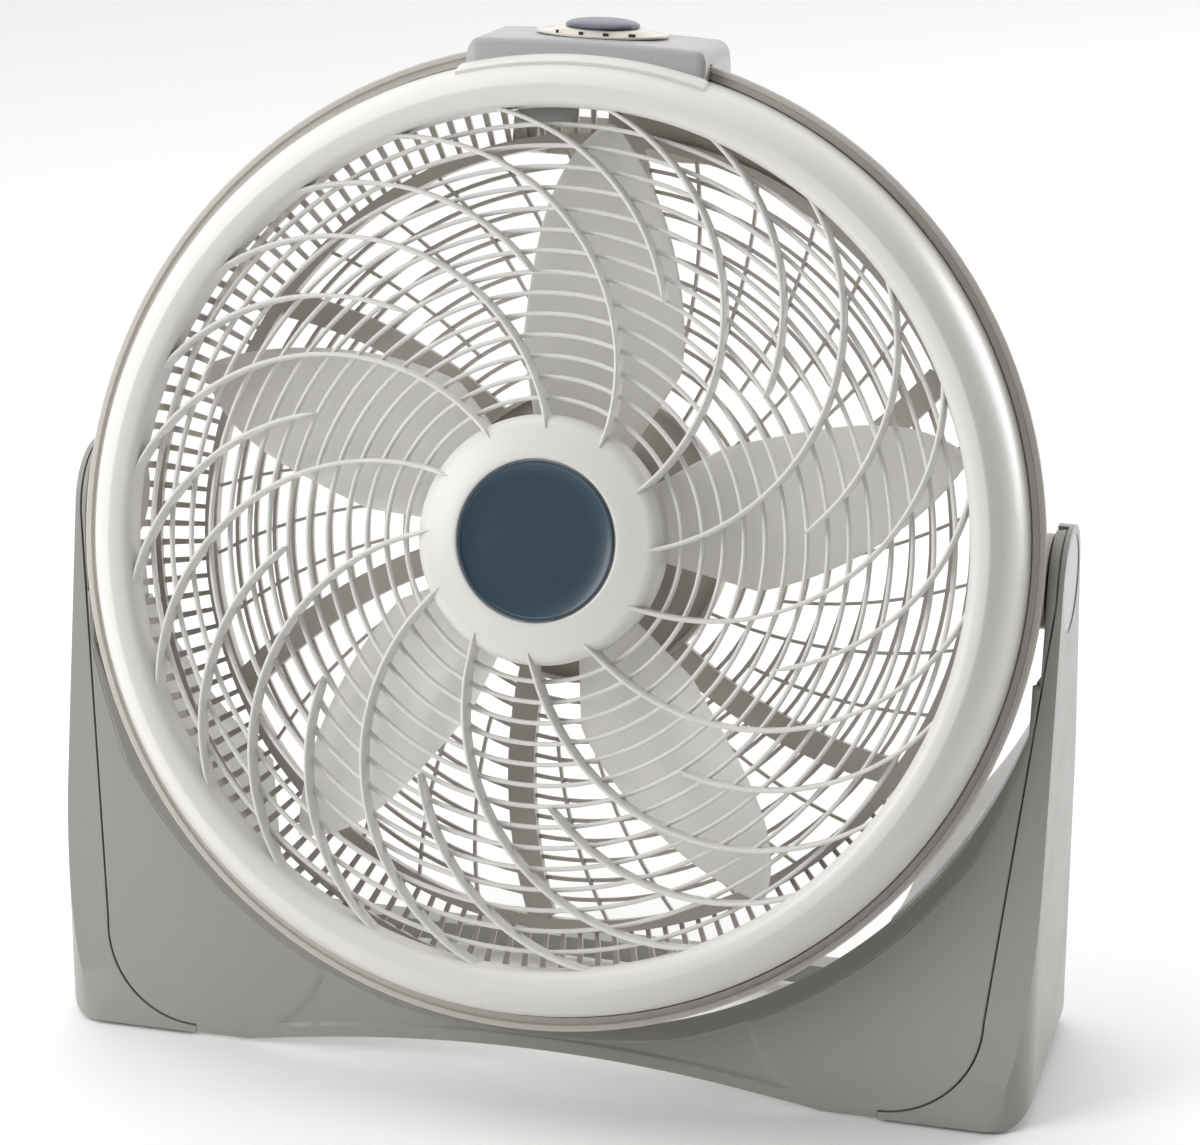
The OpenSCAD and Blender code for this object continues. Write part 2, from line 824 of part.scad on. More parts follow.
module rear_brace() {
    brace_depth = 14;
    brace_h = 12;
    color("Silver") translate([-end_wall_x, base_rear - stand_wall - brace_depth, foot_h + 4])
        cube([2 * end_wall_x, brace_depth, brace_h]);
}

foot_x = 218;
foot_inset = 14;

module foot(x, y) {
    color("DimGray") translate([x, y, 0]) cylinder(r = 8, h = foot_h);
}

module foot_front_left() { foot(-foot_x, foot_inset - base_front); }

module foot_front_right() { foot(foot_x, foot_inset - base_front); }

module foot_rear_left() { foot(-foot_x, base_rear - foot_inset); }

module foot_rear_right() { foot(foot_x, base_rear - foot_inset); }

// ---------- drawing ----------

stand_apron();
side_frame_left();
side_frame_right();
rear_brace();
foot_front_left();
foot_front_right();
foot_rear_left();
foot_rear_right();
pivot_cap_left();
pivot_cap_right();
rear_housing();
front_grille();
badge();
pivot_bolt_left();
pivot_bolt_right();
friction_washer_left();
friction_washer_right();
carry_handle();
control_box();
dial_plate();
rotary_switch();
capacitor();
cord_gland();
motor_rear_cap();
motor_front_cap();
motor_stator();
bearing_rear();
bearing_front();
motor_screw_1();
motor_screw_2();
motor_screw_3();
propeller();
rotor_core();
motor_shaft();
propeller_nut();
speed_knob();
switch_shaft();
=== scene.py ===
"""Looks for the round floor fan: camera, light, materials and detailed pieces."""

import json
import math

import bpy
from mathutils import Matrix, Vector


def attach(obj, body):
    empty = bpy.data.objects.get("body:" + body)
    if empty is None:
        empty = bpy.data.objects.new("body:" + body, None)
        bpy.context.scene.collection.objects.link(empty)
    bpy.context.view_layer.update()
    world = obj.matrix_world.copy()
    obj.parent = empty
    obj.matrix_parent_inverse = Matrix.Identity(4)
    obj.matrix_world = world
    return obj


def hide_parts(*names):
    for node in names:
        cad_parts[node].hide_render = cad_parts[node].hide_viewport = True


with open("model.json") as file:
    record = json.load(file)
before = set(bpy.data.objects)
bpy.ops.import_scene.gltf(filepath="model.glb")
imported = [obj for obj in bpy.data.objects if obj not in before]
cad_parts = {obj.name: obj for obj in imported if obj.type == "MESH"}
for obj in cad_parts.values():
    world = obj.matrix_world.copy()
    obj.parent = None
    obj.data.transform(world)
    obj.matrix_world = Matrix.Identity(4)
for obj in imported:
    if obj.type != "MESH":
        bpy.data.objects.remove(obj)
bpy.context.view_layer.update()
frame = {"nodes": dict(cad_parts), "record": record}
nodes = frame["nodes"]

MM = 0.001

# ---------- frames of the head and the dial plate ----------

# The head is drawn in millimetres as x across, h up its face and d forward along the fan axis.
PIVOT_Z = 293.5
HEAD_TILT = math.radians(18)
HEAD = Matrix.Translation((0, 0, PIVOT_Z)) @ Matrix.Rotation(math.pi / 2 - HEAD_TILT, 4, "X")

# The box roof slopes up to the rear, and the plate under the knob lies flat on it.
BOX_HALF_W = 67
BOX_FRONT_D = 50
BOX_EDGE_H = 270.2
BOX_SLOPE = math.radians(11)

PLATE_D = 16
PLATE_H = BOX_EDGE_H + (BOX_FRONT_D - PLATE_D) * math.tan(BOX_SLOPE)
PLATE_TURN = Matrix.Rotation(BOX_SLOPE - math.pi / 2, 4, "X")
PLATE = HEAD @ Matrix.Translation((0, PLATE_H, PLATE_D)) @ PLATE_TURN


def smooth_step(value, low, high):
    """0 up to low, 1 from high on, with an S-curve between."""
    t = min(1.0, max(0.0, (value - low) / (high - low)))
    return t * t * (3 - 2 * t)


# ---------- material helpers ----------


def new_material(name):
    material = bpy.data.materials.new(name)
    material.use_nodes = True
    tree = material.node_tree
    shader = tree.nodes["Principled BSDF"]
    return material, tree, shader


def add_noise(tree, scale, detail=3.0, rough=0.55):
    coords = tree.nodes.new("ShaderNodeTexCoord")
    noise = tree.nodes.new("ShaderNodeTexNoise")
    noise.inputs["Scale"].default_value = scale
    noise.inputs["Detail"].default_value = detail
    noise.inputs["Roughness"].default_value = rough
    tree.links.new(coords.outputs["Object"], noise.inputs["Vector"])
    return noise


def ramp(tree, source, low, high, start=0.3, end=0.7):
    """Maps start..end of the source to low..high."""
    node = tree.nodes.new("ShaderNodeMapRange")
    node.inputs["From Min"].default_value = start
    node.inputs["From Max"].default_value = end
    node.inputs["To Min"].default_value = low
    node.inputs["To Max"].default_value = high
    tree.links.new(source, node.inputs["Value"])
    return node.outputs["Result"]


def mix_colour(tree, factor, first, second):
    node = tree.nodes.new("ShaderNodeMix")
    node.data_type = "RGBA"
    node.inputs["A"].default_value = (*first, 1)
    node.inputs["B"].default_value = (*second, 1)
    tree.links.new(factor, node.inputs["Factor"])
    return node.outputs["Result"]


def bump(tree, shader, height, strength, distance):
    node = tree.nodes.new("ShaderNodeBump")
    node.inputs["Strength"].default_value = strength
    node.inputs["Distance"].default_value = distance
    tree.links.new(height, node.inputs["Height"])
    tree.links.new(node.outputs["Normal"], shader.inputs["Normal"])


def shade(colour, factor):
    return tuple(min(1.0, c * factor) for c in colour)


def tint(tree, shader, noise, dark, light, start=0.3, end=0.7):
    """Lets the noise run the base colour between two shades."""
    factor = ramp(tree, noise.outputs["Fac"], 0, 1, start, end)
    tree.links.new(mix_colour(tree, factor, dark, light), shader.inputs["Base Color"])


def plastic(name, colour, rough=0.4, grain=0.05, coat=0.0, glow=0.0):
    """Moulded plastic: faint flow marks, uneven gloss and, from a grain of 0.02 up, a fine texture."""
    material, tree, shader = new_material(name)
    flow = add_noise(tree, 9.0, 4.0)
    tint(tree, shader, flow, shade(colour, 0.985), shade(colour, 1.012))
    gloss = add_noise(tree, 38.0, 2.0)
    low, high = rough * (1 - 2 * grain), rough * (1 + 2.4 * grain)
    tree.links.new(ramp(tree, gloss.outputs["Fac"], low, high), shader.inputs["Roughness"])
    if grain >= 0.02:
        fine = add_noise(tree, 1400.0, 2.0, 0.6)
        bump(tree, shader, fine.outputs["Fac"], grain, 0.0002)
    shader.inputs["IOR"].default_value = 1.48
    shader.inputs["Coat Weight"].default_value = coat
    shader.inputs["Coat Roughness"].default_value = 0.15
    if glow:
        shader.inputs["Subsurface Weight"].default_value = glow
        shader.inputs["Subsurface Radius"].default_value = (0.006, 0.005, 0.004)
        shader.inputs["Subsurface Scale"].default_value = 1.0
    return material


def metal(name, colour, rough=0.35, brush=0.25):
    """Drawn or cast metal with fine streaks."""
    material, tree, shader = new_material(name)
    streaks = add_noise(tree, 320.0, 3.0)
    tint(tree, shader, streaks, shade(colour, 0.9), shade(colour, 1.06))
    gloss = ramp(tree, streaks.outputs["Fac"], rough * 0.8, rough * 1.25)
    tree.links.new(gloss, shader.inputs["Roughness"])
    bump(tree, shader, streaks.outputs["Fac"], brush, 0.0001)
    shader.inputs["Metallic"].default_value = 1.0
    return material


def rubber(name, colour):
    """Matt rubber with pale dust."""
    material, tree, shader = new_material(name)
    dust = add_noise(tree, 60.0, 5.0)
    tint(tree, shader, dust, colour, shade(colour, 1.8), 0.45, 0.8)
    shader.inputs["Roughness"].default_value = 0.8
    bump(tree, shader, dust.outputs["Fac"], 0.2, 0.0002)
    return material


MATERIALS = {
    "stand_plastic": plastic("stand grey", (0.33, 0.327, 0.31), 0.36, 0.05),
    "foot_rubber": rubber("foot rubber", (0.02, 0.02, 0.02)),
    "cap_plastic": plastic("pivot cap", (0.045, 0.05, 0.08), 0.16, 0.01, coat=0.3),
    "housing_plastic": plastic("housing grey", (0.52, 0.485, 0.445), 0.38, 0.05),
    "grille_plastic": plastic("grille white", (0.72, 0.71, 0.685), 0.3, 0.01),
    "badge_plastic": plastic("badge blue", (0.04, 0.068, 0.092), 0.22, 0.02, coat=0.3),
    "steel": metal("zinc plated steel", (0.62, 0.62, 0.62)),
    "washer_nylon": plastic("washer nylon", (0.05, 0.05, 0.055), 0.5),
    "box_plastic": plastic("box grey", (0.40, 0.41, 0.405), 0.34, 0.03),
    "plate_plastic": plastic("dial plate cream", (0.66, 0.63, 0.55), 0.25, 0.02, coat=0.2),
    "black_plastic": plastic("black plastic", (0.02, 0.02, 0.022), 0.45),
    "capacitor_plastic": plastic("capacitor case", (0.04, 0.05, 0.06), 0.4),
    "die_cast": metal("die cast alloy", (0.55, 0.55, 0.56), 0.5, 0.4),
    "lamination_steel": metal("lamination steel", (0.25, 0.25, 0.26), 0.55, 0.5),
    "bearing_bronze": metal("sintered bronze", (0.55, 0.38, 0.18), 0.5, 0.5),
    "blade_plastic": plastic("blade cream", (0.93, 0.92, 0.885), 0.33, 0.02, glow=0.15),
    "knob_plastic": plastic("knob blue grey", (0.055, 0.06, 0.10), 0.3, 0.03, coat=0.2),
}


def smooth_modifier(name, angle):
    """A geometry nodes group that shades smooth and keeps edges sharper than the angle."""
    tree = bpy.data.node_groups.new(name, "GeometryNodeTree")
    tree.interface.new_socket("Geometry", in_out="INPUT", socket_type="NodeSocketGeometry")
    tree.interface.new_socket("Geometry", in_out="OUTPUT", socket_type="NodeSocketGeometry")
    start = tree.nodes.new("NodeGroupInput")
    end = tree.nodes.new("NodeGroupOutput")
    merge = tree.nodes.new("GeometryNodeMergeByDistance")
    merge.inputs["Distance"].default_value = 0.000002
    edge_angle = tree.nodes.new("GeometryNodeInputMeshEdgeAngle")
    sharp = tree.nodes.new("FunctionNodeCompare")
    sharp.operation = "LESS_EQUAL"
    sharp.inputs[1].default_value = angle
    faces = tree.nodes.new("GeometryNodeSetShadeSmooth")
    faces.domain = "FACE"
    edges = tree.nodes.new("GeometryNodeSetShadeSmooth")
    edges.domain = "EDGE"
    tree.links.new(start.outputs[0], merge.inputs["Geometry"])
    tree.links.new(merge.outputs["Geometry"], faces.inputs["Geometry"])
    tree.links.new(faces.outputs["Geometry"], edges.inputs["Geometry"])
    tree.links.new(edge_angle.outputs["Unsigned Angle"], sharp.inputs[0])
    tree.links.new(sharp.outputs["Result"], edges.inputs["Shade Smooth"])
    tree.links.new(edges.outputs["Geometry"], end.inputs[0])
    return tree


SMOOTH = smooth_modifier("smooth by angle", math.radians(32))


def dress_cad():
    """Every CAD node that stays gets its slot's material and smooth shading."""
    slot_of = {entry["node"]: entry["material_slot"] for entry in frame["record"]["subparts"]}
    for name, obj in nodes.items():
        obj.data.materials.clear()
        obj.data.materials.append(MATERIALS[slot_of[name]])
        modifier = obj.modifiers.new("smooth", "NODES")
        modifier.node_group = SMOOTH


# ---------- mesh helpers ----------


def add_mesh(name, verts, faces, slot, body, angle, place=HEAD):
    """A piece in the place's own millimetres, smooth below the angle, riding on a body."""
    mesh = bpy.data.meshes.new(name)
    mesh.from_pydata([MM * (place @ Vector(v)) for v in verts], [], faces)
    mesh.validate()
    mesh.polygons.foreach_set("use_smooth", [True] * len(mesh.polygons))
    mesh.set_sharp_from_angle(angle=math.radians(angle))
    mesh.materials.append(MATERIALS[slot])
    obj = bpy.data.objects.new(name, mesh)
    bpy.context.scene.collection.objects.link(obj)
    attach(obj, body)
    return obj


def tube_faces(count, size, closed):
    """Quads between rings of equal size, each ring joined to the next."""
    faces = []
    for i in range(count if closed else count - 1):
        k = (i + 1) % count
        for j in range(size):
            m = (j + 1) % size
            faces.append((i * size + j, k * size + j, k * size + m, i * size + m))
    return faces


def lathe(profile, steps):
    """Turns a closed (radius, height) profile about z."""
    verts = []
    for i in range(steps):
        a = 2 * math.pi * i / steps
        verts += [(r * math.cos(a), r * math.sin(a), z) for r, z in profile]
    return verts, tube_faces(steps, len(profile), closed=True)


def ellipse_arc(centre, a, b, start, end, steps):
    """Points of an ellipse arc, angles in degrees."""
    points = []
    for i in range(steps + 1):
        t = math.radians(start + (end - start) * i / steps)
        points.append((centre[0] + a * math.cos(t), centre[1] + b * math.sin(t)))
    return points


def sweep(rings):
    """Joins rings of equal size into a tube with capped ends."""
    size = len(rings[0])
    count = len(rings)
    verts = [p for ring in rings for p in ring]
    faces = tube_faces(count, size, closed=False)
    faces.append(tuple(range(size)))
    faces.append(tuple((count - 1) * size + j for j in reversed(range(size))))
    return verts, faces


def turned(points, angle):
    """The points turned about z."""
    c, s = math.cos(angle), math.sin(angle)
    return [(x * c - y * s, x * s + y * c, z) for x, y, z in points]


def join(parts):
    """Several (verts, faces) as one."""
    verts, faces = [], []
    for v, f in parts:
        base = len(verts)
        verts += v
        faces += [tuple(i + base for i in face) for face in f]
    return verts, faces


# ---------- front grille ----------

RING_SIDE = (238, 34)
RING_A = 24.5
RING_B = 39.5
RING_WALL = 2.6
WIRE_COUNT = 14
WIRE_W = 2.4
WIRE_H = 3.0
WIRE_FIRST_R = 77
WIRE_PITCH = 11.35
WIRE_LOW_D = 57.6
WIRE_FALL = 0.25
RIB_PAIRS = 12
RIB_W = 2.3
RIB_TIP = 7
RIB_ARC_R = 125
RIB_HUB_R = 61
RIB_ALIGN_R = 60
RIB_MID_R = 145.1
RIB_END_R = 235.6
RIB_TOP = [(58, 73.0), (66, 72.8), (72, 70.4), (110, 68.4), (240, 66.0)]
RIB_BOTTOM = [(58, 55.5), (68, 55.5), (240, 53.2)]


def level_at(table, radius):
    """Linear value between the points of a table."""
    for (r0, z0), (r1, z1) in zip(table, table[1:]):
        if radius <= r1:
            return z0 + (z1 - z0) * (radius - r0) / (r1 - r0)
    return table[-1][1]


def ring_profile():
    """Section of the outer ring: rounded outer flank, crest, inner wall and the hollow behind."""
    outer = ellipse_arc(RING_SIDE, RING_A, RING_B, 0, 70, 28)
    crest = [(245.9, 71.4), (245.3, 71.7), (244.6, 71.75)]
    face = [
        (242.0, 71.4), (239.0, 70.9), (236.8, 70.1),
        (235.2, 68.7), (234.2, 67.0), (233.8, 65.2),
    ]
    inside = [
        (233.8, 50.3), (234.1, 50.0), (236.1, 50.0),
        (236.4, 50.3), (236.4, 65.8), (238.0, 68.2),
    ]
    under = ellipse_arc(RING_SIDE, RING_A - RING_WALL, RING_B - RING_WALL, 77, 0, 24)
    return outer + crest + face + inside + under


def rounded_bar(width, low, high, soft):
    """Cross-section of a moulded bar: (across, depth) points, rounder at the front."""
    half = width / 2
    return [
        (-half, low), (-half, high - soft),
        (-half * 0.72, high - soft * 0.3), (-half * 0.25, high),
        (half * 0.25, high), (half * 0.72, high - soft * 0.3),
        (half, high - soft), (half, low),
    ]


def wires():
    """Thin rings behind the ribs, each a little further back than the last."""
    parts = []
    for k in range(WIRE_COUNT):
        radius = WIRE_FIRST_R + WIRE_PITCH * k
        low = WIRE_LOW_D - WIRE_FALL * k
        profile = [(radius + a, z) for a, z in rounded_bar(WIRE_W, low, low + WIRE_H, 0.9)]
        parts.append(lathe(profile, 240))
    return join(parts)


def rib_ring(theta, start_r, spin):
    """Section of a rib where its arc has run round to theta; its tip is drawn to a point."""
    across_x, across_y = math.cos(theta), math.sin(theta)
    centre_x = RIB_ARC_R * (1 + across_x)
    centre_y = RIB_ARC_R * across_y
    radius = math.hypot(centre_x, centre_y)
    width = RIB_W * min(1.0, 0.2 + (radius - start_r) / RIB_TIP)
    section = rounded_bar(width, level_at(RIB_BOTTOM, radius), level_at(RIB_TOP, radius), 1.1)
    points = [(centre_x + across_x * a, centre_y + across_y * a, depth) for a, depth in section]
    return turned(points, spin)


def arc_angle(radius):
    """Half the angle left on the rib's arc where it is this far from the fan axis."""
    return math.acos(radius / (2 * RIB_ARC_R))


def spiral_rib(start_r, turn):
    """One curved fin: an arc of a circle through the fan axis, from start_r out into the ring."""
    a0 = arc_angle(start_r)
    a1 = arc_angle(RIB_END_R)
    steps = 56
    thetas = [-2 * (a0 + (a1 - a0) * i / steps) for i in range(steps + 1)]
    return sweep([rib_ring(theta, start_r, a0 + turn) for theta in thetas])


def ribs():
    """Long ribs from the hub, and short ones that start halfway out between them."""
    parts = []
    offset = arc_angle(RIB_ALIGN_R) - arc_angle(RIB_MID_R)
    for i in range(RIB_PAIRS):
        turn = math.radians(360 / RIB_PAIRS * i)
        parts.append(spiral_rib(RIB_HUB_R, turn))
        parts.append(spiral_rib(RIB_MID_R, turn + math.radians(180 / RIB_PAIRS) + offset))
    return join(parts)


def hub_cap_profile():
    shoulder = ellipse_arc((59.5, 63.8), 8.5, 8.5, 0, 82, 10)
    dome = [
        (57.5, 72.9), (53.5, 73.9), (49.5, 74.7), (46.4, 75.15),
        (45.2, 75.25), (44.5, 75.0), (44.1, 74.4),
    ]
    floor = [(44.0, 73.5), (0.01, 73.5)]
    under = [
        (0.01, 71.0), (57.0, 70.0), (65.4, 62.0),
        (65.4, 50.0), (67.6, 50.0), (68.0, 50.4),
    ]
    return shoulder + dome + floor + under


def badge_profile():
    rim = [
        (43.4, 73.6), (43.4, 75.5), (43.0, 75.95), (42.4, 76.0),
        (41.8, 75.8), (41.5, 75.3), (41.0, 75.1),
    ]
    return rim + [(30, 75.25), (15, 75.35), (0.01, 75.4), (0.01, 73.6)]


def make_front_grille():
    ring = add_mesh("grille_ring", *lathe(ring_profile(), 288), "grille_plastic", "head", angle=40)
    cap = add_mesh("grille_hub_cap", *lathe(hub_cap_profile(), 160), "grille_plastic", "head", angle=40)
    spirals = add_mesh("grille_spiral_ribs", *ribs(), "grille_plastic", "head", angle=50)
    rings = add_mesh("grille_wire_rings", *wires(), "grille_plastic", "head", angle=50)
    for piece in (ring, cap, spirals, rings):
        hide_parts("front_grille")
    badge = add_mesh("hub_badge", *lathe(badge_profile(), 160), "badge_plastic", "head", angle=40)
    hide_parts("badge")


# ---------- propeller ----------

BLADE_COUNT = 5
BLADE_FIRST_ANGLE = 88
BLADE_TIP_R = 228.5
BLADE_ROOT_R = 49.5
BLADE_WIDE_R = 110
BLADE_TAPER = 119


def out_frac(radius):
    """0 up to the widest part of the blade, 1 just past its tip."""
    return min(1.0, max(0.0, (radius - BLADE_WIDE_R) / BLADE_TAPER))


def blade_edges(radius):
    """Leading and trailing edge angles from the blade's centre line."""
    if radius < BLADE_WIDE_R:
        return math.radians(-27.5), math.radians(16.5)
    f = out_frac(radius)
    lead = -52 * (1 - f**1.8) ** 0.85 / radius
    trail = 31 * (1 - f**4) ** 0.8 / radius
    return lead, trail


def blade_row(radius, cols):
    """Front and rear points across the blade, with soft edges."""
    front, rear = [], []
    lead, trail = blade_edges(radius)
    reach = 23 * (1 - 0.85 * out_frac(radius) ** 1.5)
    for j in range(cols + 1):
        w = math.sin(math.pi / 2 * (2 * j / cols - 1))
        angle = lead + (trail - lead) * (w + 1) / 2
        half = 1.05 * math.sqrt(max(0.0, 1 - abs(w) ** 10))
        depth = 10 + reach * w - 3 * (1 - w * w)
        x, y = radius * math.cos(angle), radius * math.sin(angle)
        front.append((x, y, depth + half))
        rear.append((x, y, depth - half))
    return front, rear


def sheet_faces(rows, cols):
    """Faces of two grids of points, front and rear, closed round their edges."""
    n = cols + 1
    count = (rows + 1) * n
    faces = []
    for i in range(rows):
        for j in range(cols):
            k = i * n + j
            faces.append((k, k + n, k + n + 1, k + 1))
            faces.append((k + count, k + 1 + count, k + n + 1 + count, k + n + count))
    for j in range(cols):
        k = rows * n + j
        faces.append((k, k + count, k + 1 + count, k + 1))
        faces.append((j, j + 1, j + 1 + count, j + count))
    for i in range(rows):
        k = i * n
        faces.append((k, k + count, k + n + count, k + n))
        m = k + cols
        faces.append((m, m + n, m + n + count, m + count))
    return faces


def blade_sheet(rows=48, cols=26):
    """One closed blade: all front points, then all rear points."""
    front, rear = [], []
    for i in range(rows + 1):
        radius = BLADE_ROOT_R + (BLADE_TIP_R - BLADE_ROOT_R) * math.sin(math.pi / 2 * i / rows)
        front_row, rear_row = blade_row(radius, cols)
        front += front_row
        rear += rear_row
    return front + rear, sheet_faces(rows, cols)


def hub_profile():
    outside = [(52.0, -13.7), (52.0, 29.5)] + ellipse_arc((46.0, 30.0), 6.0, 6.0, 5, 90, 8)
    inside = [
        (0.01, 36.0), (0.01, 33.0), (45.5, 33.0), (48.4, 30.5),
        (49.4, 28.0), (49.4, -13.7), (49.9, -14.0),
    ]
    return outside + inside + [(51.6, -14.0)]


def make_propeller():
    verts, faces = blade_sheet()
    blades = []
    for i in range(BLADE_COUNT):
        angle = BLADE_FIRST_ANGLE + 360 / BLADE_COUNT * i
        blades.append((turned(verts, math.radians(angle)), faces))
    wheel = add_mesh("propeller_blades", *join(blades), "blade_plastic", "propeller", angle=50)
    hub = add_mesh("propeller_hub", *lathe(hub_profile(), 128), "blade_plastic", "propeller", angle=40)
    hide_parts("propeller")
    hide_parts("propeller")


# ---------- control box ----------

BOX_CORNER_R = 8.5
BOX_END_INSET = 2.6
BOX_CROWN = 2.2
SILL_R = 256.2
WELL_X = (-41, -9)
WELL_D = (18.5, 30.5)
WELL_FLOOR_H = 225
WELL_TOP_H = 262.5


def top_h(depth):
    """Height of the sloping roof at a depth."""
    return BOX_EDGE_H + (BOX_FRONT_D - depth) * math.tan(BOX_SLOPE)


def end_columns(half, radius, steps):
    """x positions across a block, closer in its rounded ends, with how far round the corner each is."""
    corner = []
    for i in range(steps + 1):
        corner.append((half - radius + radius * math.sin(math.pi / 2 * i / steps), i / steps))
    flat = int(half - radius)
    middle = [(x, 0.0) for x in range(-flat + 6, flat, 6)]
    left = [(-x, f) for x, f in reversed(corner)]
    return left + middle + corner


def box_loop(x, turn):
    """Side outline of the box at x; turn runs from 0 to 1 round the end corner."""
    bend = 1 - math.cos(math.pi / 2 * turn)
    drop = BOX_CORNER_R * bend + BOX_CROWN * (x / BOX_HALF_W) ** 2
    inset = BOX_END_INSET * bend

    def on(r):
        return math.sqrt(r * r - x * x)

    edge = BOX_EDGE_H - drop * 0.85
    rear = top_h(-8) - drop
    return [
        (on(259.9), 52.2 - inset), (edge - 3.0, 50.3 - inset), (edge - 1.1, 49.9 - inset),
        (edge - 0.1, 48.9 - inset), (edge + 0.5, 47.2 - inset),
        (top_h(20) - drop, 20), (rear - 0.5, -5), (rear - 0.8, -8),
        (rear - 2.2, -11.0 + inset), (rear - 5.0, -13.4 + inset),
        (on(264.0), -20 + inset), (on(262.3), -19.8 + inset),
        (on(262.3), 30.6), (on(271.0), 34.9), (on(271.0), 39.9), (on(262.6), 40.2),
    ]


def sill_loop(x, turn):
    """Side outline of the thin strip along the foot of the box, above the ring."""
    low = math.sqrt(SILL_R**2 - x * x)
    lift = 6.2 - 1.2 * turn
    return [
        (x, low - 0.2, 59.8), (x, low + 1.9, 60.4), (x, low + 2.6, 60.0), (x, low + lift, 54.2),
        (x, low + lift + 0.3, 53.4), (x, low + lift, 50.4), (x, low + 3.0, 50.4),
    ]


def well_loop(height, taper):
    """Outline of the well with cut corners, drawn in by the taper."""
    x0, x1 = WELL_X[0] + taper, WELL_X[1] - taper
    d0, d1 = WELL_D[0] + taper, WELL_D[1] - taper
    return [
        (x0, height, d0 + 1), (x0 + 1, height, d0), (x1 - 1, height, d0), (x1, height, d0 + 1),
        (x1, height, d1 - 1), (x1 - 1, height, d1), (x0 + 1, height, d1), (x0, height, d1 - 1),
    ]


def make_control_box():
    rings = []
    for x, turn in end_columns(BOX_HALF_W, 6.5, 8):
        rings.append([(x, h, d) for h, d in box_loop(x, turn)])
    shell = add_mesh("control_box_shell", *sweep(rings), "box_plastic", "head", angle=38)
    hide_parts("control_box")
    sills = [sill_loop(x, turn) for x, turn in end_columns(BOX_HALF_W + 2.5, 2.0, 4)]
    strip = add_mesh("control_box_sill", *sweep(sills), "grille_plastic", "head", angle=38)
    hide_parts("control_box")
    floor = WELL_FLOOR_H
    levels = [(WELL_TOP_H, 0), (floor + 1.2, 0), (floor + 0.3, 0.3), (floor, 1.2)]
    wells = [well_loop(height, taper) for height, taper in levels]
    well = add_mesh("switch_well", *sweep(wells), "box_plastic", "head", angle=38)
    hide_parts("control_box")


# ---------- dial plate and knob ----------

PLATE_TOP = 1.2
PEDESTAL_H = 4.2
MARK_STEP = 14
BLOCK_FACES = [(3, 2, 1, 0), (4, 5, 6, 7), (0, 1, 5, 4), (1, 2, 6, 5), (2, 3, 7, 6), (3, 0, 4, 7)]
KNOB_R = 19.9
KNOB_RIM_H = 5.7
KNOB_CROWN = 2.85


def oval_ring(half_w, half_d, height, steps=96):
    """Points round an oval at one height."""
    points = []
    for i in range(steps):
        a = 2 * math.pi * i / steps
        points.append((half_w * math.cos(a), half_d * math.sin(a), height))
    return points


def make_dial_plate():
    """Oval plate with a bright rim, rising in a soft cone to the pedestal of the knob."""
    rim = [
        (-0.9, 0.05), (0.0, 0.35), (0.0, 1.15), (-0.3, 1.5),
        (-0.9, 1.55), (-1.4, 1.3), (-1.8, PLATE_TOP),
    ]
    rings = [oval_ring(37 + out, 23.8 + out, z) for out, z in rim]
    for i in range(1, 11):
        t = i / 10
        height = PLATE_TOP + (PEDESTAL_H - PLATE_TOP) * smooth_step(t, 0.0, 1.0)
        rings.append(oval_ring(35.2 - 16.2 * t, 22.0 - 3.0 * t, height))
    rings.append(oval_ring(8, 8, PEDESTAL_H))
    plate = add_mesh("dial_plate_oval", *sweep(rings), "plate_plastic", "head", place=PLATE, angle=38)
    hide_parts("dial_plate")
    make_dial_marks()


def make_dial_marks():
    """Four plain position marks on the front slope of the plate, each longer than the last."""
    parts = []
    for i in range(4):
        x = MARK_STEP * (i - 1.5)
        half_w = 0.7 + 0.4 * i
        y = -21.2 + 0.0075 * x * x
        left, right, near, far = x - half_w, x + half_w, y - 0.5, y + 0.5
        box = []
        for z in (1.0, 3.1):
            box += [(left, near, z), (right, near, z), (right, far, z), (left, far, z)]
        parts.append((box, BLOCK_FACES))
    marks = add_mesh("dial_marks", *join(parts), "black_plastic", "head", place=PLATE, angle=38)
    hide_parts("dial_plate")


def knob_top(radius):
    """Height of the dome at a radius."""
    return KNOB_RIM_H + KNOB_CROWN * math.sqrt(max(0.0, 1 - (radius / KNOB_R) ** 2))


def make_knob():
    """Domed knob with a raised pointer line."""
    profile = [(19.6, 4.55), (20.3, 4.8), (20.5, 5.2), (20.3, 5.6)]
    profile += ellipse_arc((0, KNOB_RIM_H), KNOB_R, KNOB_CROWN, 6, 90, 14)
    profile += [(0.01, 4.55)]
    dome = lathe(profile, 120)
    knob = add_mesh("speed_knob_dome", *dome, "knob_plastic", "knob", place=PLATE, angle=38)
    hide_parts("speed_knob")
    rings = []
    for i in range(9):
        y = 6.0 + 12.5 * i / 8
        top = knob_top(y)
        half = 0.75 * math.sin(math.pi * (0.12 + 0.76 * i / 8)) + 0.25
        rings.append([
            (-half, y, top - 0.5), (-half * 0.7, y, top + 0.15),
            (half * 0.7, y, top + 0.15), (half, y, top - 0.5),
        ])
    line = sweep(rings)
    pointer = add_mesh("speed_knob_pointer", *line, "plate_plastic", "knob", place=PLATE, angle=38)
    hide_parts("speed_knob")


# ---------- stand front ----------

